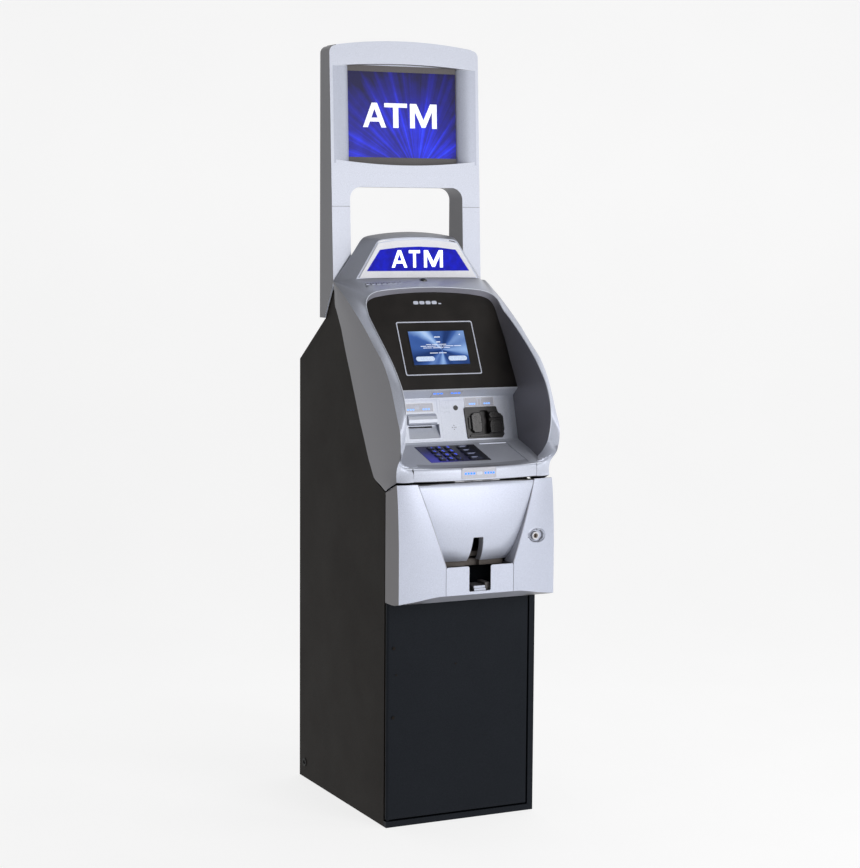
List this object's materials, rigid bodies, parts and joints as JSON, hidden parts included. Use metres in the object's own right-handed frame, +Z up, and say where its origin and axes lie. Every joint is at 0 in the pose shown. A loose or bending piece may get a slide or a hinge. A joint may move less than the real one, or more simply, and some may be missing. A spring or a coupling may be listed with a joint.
{
  "type": "atm machine",
  "caption": "Free-standing cash machine: steel safe cabinet with vault door, tilting hooded control panel, lockable note dispenser cover and advertising display on legs.",
  "frame": {"origin": "centre of the floor anchor pattern, on the floor", "axes": "+Z up, front of the machine faces -Y, +X to the right seen from the front"},
  "size_m": [0.429, 0.649, 1.927],
  "materials": {
    "cabinet_coat": "fine textured warm charcoal powder coat",
    "door_coat": "textured navy-charcoal powder coat",
    "silver_moulding": "silver lavender metallic moulding with a fine grain",
    "silver_coat": "silver lavender metallic paint",
    "zinc": "plated steel",
    "display_black": "smoked black display surround",
    "display_glass": "display",
    "grey_plastic": "dark grey plastic",
    "black_plastic": "black plastic",
    "white_plastic": "white plastic",
    "blue_lens": "lit royal blue lens",
    "clear_lens": "frosted light lens",
    "roller_rubber": "rubber",
    "paper": "receipt paper",
    "dark_metal": "painted steel",
    "key_metal": "lit metal keys"
  },
  "bodies": {
    "cabinet": {"cabinet_shell": "cabinet_coat", "base_plate": "cabinet_coat", "door_frame": "cabinet_coat", "safe_top_plate": "cabinet_coat", "cable_grommet": "roller_rubber", "dispenser_frame": "zinc", "cash_cassette": "grey_plastic", "power_supply": "zinc", "control_unit": "zinc", "panel_hinge_fixed": "zinc", "topper_housing": "silver_moulding", "topper_legs": "silver_moulding", "topper_rear_cover": "silver_moulding", "topper_display": "display_glass", "topper_bracket": "cabinet_coat"},
    "feed_rollers": {"feed_rollers": "roller_rubber"},
    "power_switch": {"power_switch": "black_plastic"},
    "vault_door": {"vault_door": "door_coat", "door_screws": "zinc", "note_nozzle": "dark_metal", "cover_bracket": "zinc"},
    "combination_dial": {"combination_dial": "black_plastic"},
    "bolt_handle": {"bolt_handle": "zinc"},
    "lock_bolts": {"lock_bolts": "zinc"},
    "dispenser_cover": {"dispenser_cover": "silver_moulding", "dispenser_bowl": "silver_moulding", "cover_lock_body": "zinc"},
    "cover_lock_plug": {"cover_lock_plug": "zinc"},
    "control_panel": {"fascia_shell": "silver_moulding", "display_panel": "display_black", "display_screen": "display_glass", "user_panel": "silver_moulding", "guide_lights": "clear_lens", "receipt_bezel": "silver_moulding", "receipt_printer": "grey_plastic", "card_reader_bezel": "black_plastic", "card_reader_body": "grey_plastic", "audio_jack": "zinc", "keypad_plate": "black_plastic", "header_trim": "white_plastic", "header_lens": "blue_lens", "security_camera": "black_plastic"},
    "paper_roll": {"paper_roll": "paper"},
    "platen_roller": {"platen_roller": "roller_rubber"},
    "key_1": {"key_1": "key_metal"},
    "key_2": {"key_2": "key_metal"},
    "key_3": {"key_3": "key_metal"},
    "key_4": {"key_4": "key_metal"},
    "key_5": {"key_5": "key_metal"},
    "key_6": {"key_6": "key_metal"},
    "key_7": {"key_7": "key_metal"},
    "key_8": {"key_8": "key_metal"},
    "key_9": {"key_9": "key_metal"},
    "key_clear_left": {"key_clear_left": "key_metal"},
    "key_0": {"key_0": "key_metal"},
    "key_dot": {"key_dot": "key_metal"},
    "key_cancel": {"key_cancel": "key_metal"},
    "key_help": {"key_help": "key_metal"},
    "key_correct": {"key_correct": "key_metal"},
    "key_enter": {"key_enter": "key_metal"}
  },
  "joints": [
    {"name": "control_panel_tilt", "type": "hinge", "parent": "cabinet", "child": "control_panel", "pos_m": [0, -0.3505, 0.8545], "axis": [1, 0, 0], "range_deg": [0, 55]},
    {"name": "vault_door_swing", "type": "hinge", "parent": "cabinet", "child": "vault_door", "pos_m": [-0.196, -0.27, 0.42], "axis": [0, 0, -1], "range_deg": [0, 90]},
    {"name": "dispenser_cover_swing", "type": "hinge", "parent": "vault_door", "child": "dispenser_cover", "pos_m": [-0.203, -0.2855, 0.7], "axis": [0, 0, -1], "range_deg": [0, 90]},
    {"name": "cover_lock_turn", "type": "hinge", "parent": "dispenser_cover", "child": "cover_lock_plug", "pos_m": [0.153, -0.3515, 0.713], "axis": [0, -1, 0], "range_deg": [0, 90]},
    {"name": "combination_dial_spin", "type": "hinge", "parent": "vault_door", "child": "combination_dial", "pos_m": [0.152, -0.2765, 0.77], "axis": [0, -1, 0], "continuous": true},
    {"name": "bolt_handle_turn", "type": "hinge", "parent": "vault_door", "child": "bolt_handle", "pos_m": [0.152, -0.2765, 0.628], "axis": [0, -1, 0], "range_deg": [0, 90]},
    {"name": "lock_bolts_slide", "type": "slide", "parent": "vault_door", "child": "lock_bolts", "axis": [1, 0, 0], "range_m": [0, 0.012]},
    {"name": "feed_rollers_spin", "type": "hinge", "parent": "cabinet", "child": "feed_rollers", "pos_m": [0, -0.1865, 0.64], "axis": [1, 0, 0], "continuous": true},
    {"name": "power_switch_rock", "type": "hinge", "parent": "cabinet", "child": "power_switch", "pos_m": [0.138, 0.1175, 0.86], "axis": [1, 0, 0], "range_deg": [0, 18]},
    {"name": "paper_roll_spin", "type": "hinge", "parent": "control_panel", "child": "paper_roll", "pos_m": [-0.068, -0.11511, 0.97569], "axis": [1, 0, 0], "continuous": true},
    {"name": "platen_roller_spin", "type": "hinge", "parent": "control_panel", "child": "platen_roller", "pos_m": [-0.068, -0.16315, 0.96018], "axis": [1, 0, 0], "continuous": true},
    {"name": "key_1_press", "type": "slide", "parent": "control_panel", "child": "key_1", "axis": [0, 0.2756, -0.9613], "range_m": [0, 0.002], "stiffness_N_per_m": 300},
    {"name": "key_2_press", "type": "slide", "parent": "control_panel", "child": "key_2", "axis": [0, 0.2756, -0.9613], "range_m": [0, 0.002], "stiffness_N_per_m": 300},
    {"name": "key_3_press", "type": "slide", "parent": "control_panel", "child": "key_3", "axis": [0, 0.2756, -0.9613], "range_m": [0, 0.002], "stiffness_N_per_m": 300},
    {"name": "key_4_press", "type": "slide", "parent": "control_panel", "child": "key_4", "axis": [0, 0.2756, -0.9613], "range_m": [0, 0.002], "stiffness_N_per_m": 300},
    {"name": "key_5_press", "type": "slide", "parent": "control_panel", "child": "key_5", "axis": [0, 0.2756, -0.9613], "range_m": [0, 0.002], "stiffness_N_per_m": 300},
    {"name": "key_6_press", "type": "slide", "parent": "control_panel", "child": "key_6", "axis": [0, 0.2756, -0.9613], "range_m": [0, 0.002], "stiffness_N_per_m": 300},
    {"name": "key_7_press", "type": "slide", "parent": "control_panel", "child": "key_7", "axis": [0, 0.2756, -0.9613], "range_m": [0, 0.002], "stiffness_N_per_m": 300},
    {"name": "key_8_press", "type": "slide", "parent": "control_panel", "child": "key_8", "axis": [0, 0.2756, -0.9613], "range_m": [0, 0.002], "stiffness_N_per_m": 300},
    {"name": "key_9_press", "type": "slide", "parent": "control_panel", "child": "key_9", "axis": [0, 0.2756, -0.9613], "range_m": [0, 0.002], "stiffness_N_per_m": 300},
    {"name": "key_clear_left_press", "type": "slide", "parent": "control_panel", "child": "key_clear_left", "axis": [0, 0.2756, -0.9613], "range_m": [0, 0.002], "stiffness_N_per_m": 300},
    {"name": "key_0_press", "type": "slide", "parent": "control_panel", "child": "key_0", "axis": [0, 0.2756, -0.9613], "range_m": [0, 0.002], "stiffness_N_per_m": 300},
    {"name": "key_dot_press", "type": "slide", "parent": "control_panel", "child": "key_dot", "axis": [0, 0.2756, -0.9613], "range_m": [0, 0.002], "stiffness_N_per_m": 300},
    {"name": "key_cancel_press", "type": "slide", "parent": "control_panel", "child": "key_cancel", "axis": [0, 0.2756, -0.9613], "range_m": [0, 0.002], "stiffness_N_per_m": 300},
    {"name": "key_help_press", "type": "slide", "parent": "control_panel", "child": "key_help", "axis": [0, 0.2756, -0.9613], "range_m": [0, 0.002], "stiffness_N_per_m": 300},
    {"name": "key_correct_press", "type": "slide", "parent": "control_panel", "child": "key_correct", "axis": [0, 0.2756, -0.9613], "range_m": [0, 0.002], "stiffness_N_per_m": 300},
    {"name": "key_enter_press", "type": "slide", "parent": "control_panel", "child": "key_enter", "axis": [0, 0.2756, -0.9613], "range_m": [0, 0.002], "stiffness_N_per_m": 300}
  ],
  "couplings": [
    {"joint": "lock_bolts_slide", "follows": "bolt_handle_turn", "m_per_rad": 0.0076394}
  ]
}
